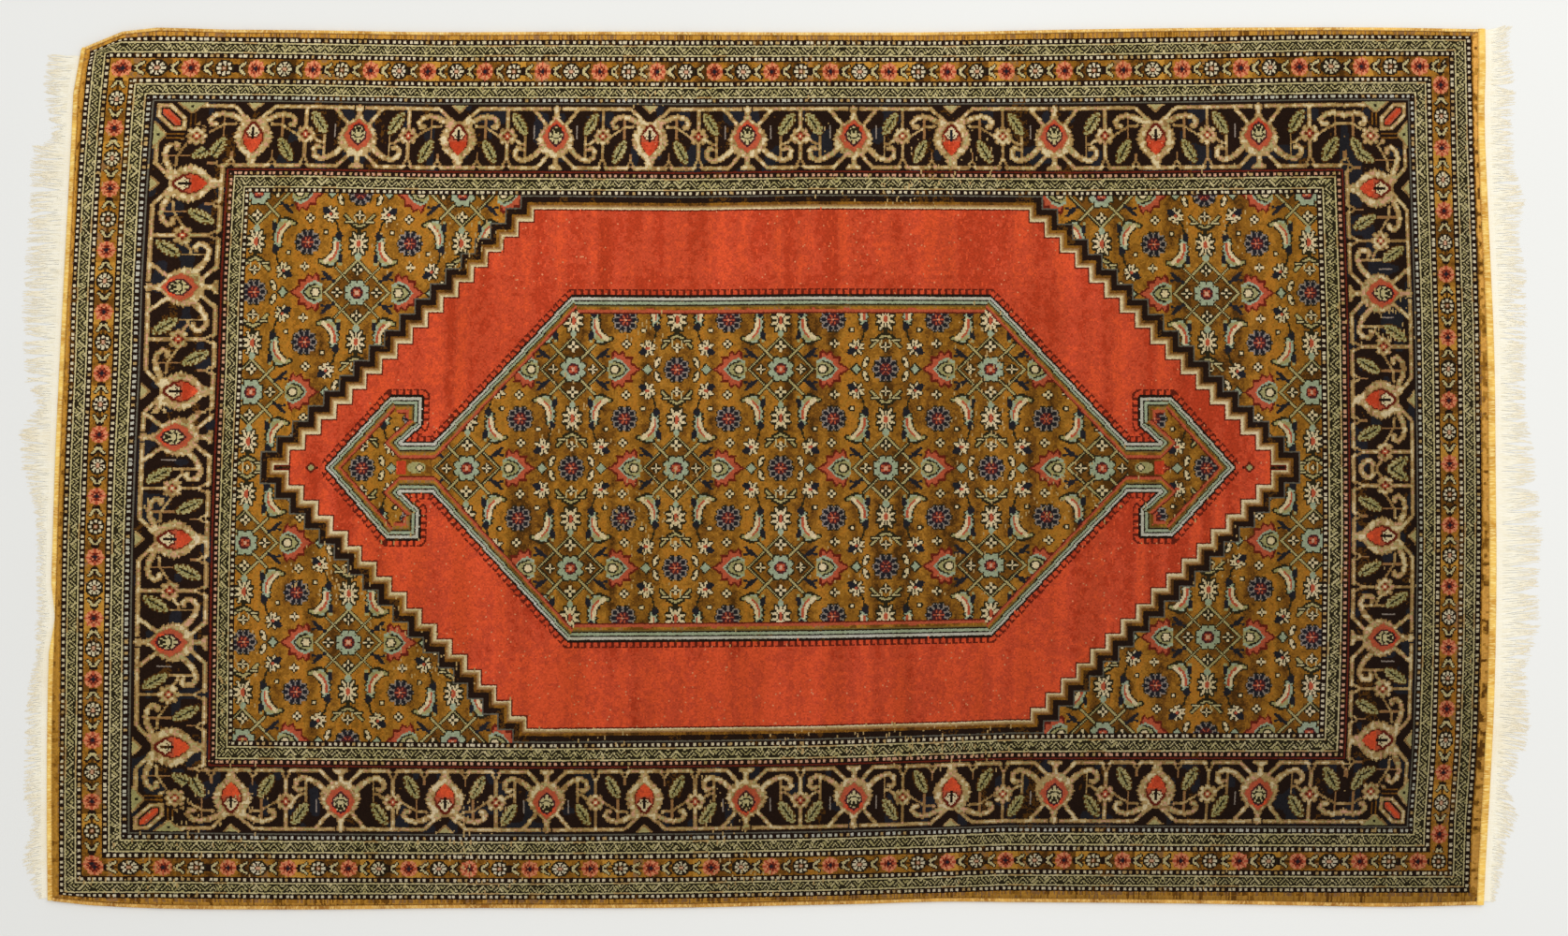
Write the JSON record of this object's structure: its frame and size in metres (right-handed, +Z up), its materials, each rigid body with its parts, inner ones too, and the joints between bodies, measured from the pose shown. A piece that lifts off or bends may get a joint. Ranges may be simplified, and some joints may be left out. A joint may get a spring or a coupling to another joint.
{
  "type": "persian rug",
  "caption": "Hand-knotted floor rug with a lobed centre medallion, patterned borders, overcast edges and a cotton warp fringe at both ends.",
  "frame": {"origin": "middle of the rug's outline, on the surface it lies on", "axes": "+X along the rug's length, towards the end at the right of the picture; +Y across it; +Z up, out of the pile"},
  "size_m": [2.2886, 1.3218, 0.0087],
  "materials": {
    "wool_pile": "dense low cut wool pile in brick red, dark brown, ochre, cream and pale green, matt with a soft sheen",
    "pale_gold_wool": "pale gold wool overcast round the long edges in close slanting turns",
    "gold_wool": "bright gold wool band worked over each end",
    "cream_cotton": "undyed cotton web and loose warp ends, ivory with tan tips"
  },
  "bodies": {
    "root": {"rug_body": "wool_pile", "selvedge_top": "pale_gold_wool", "selvedge_bottom": "pale_gold_wool", "end_band_left": "gold_wool", "end_band_right": "gold_wool", "fringe_left": "cream_cotton", "fringe_right": "cream_cotton"}
  },
  "joints": []
}
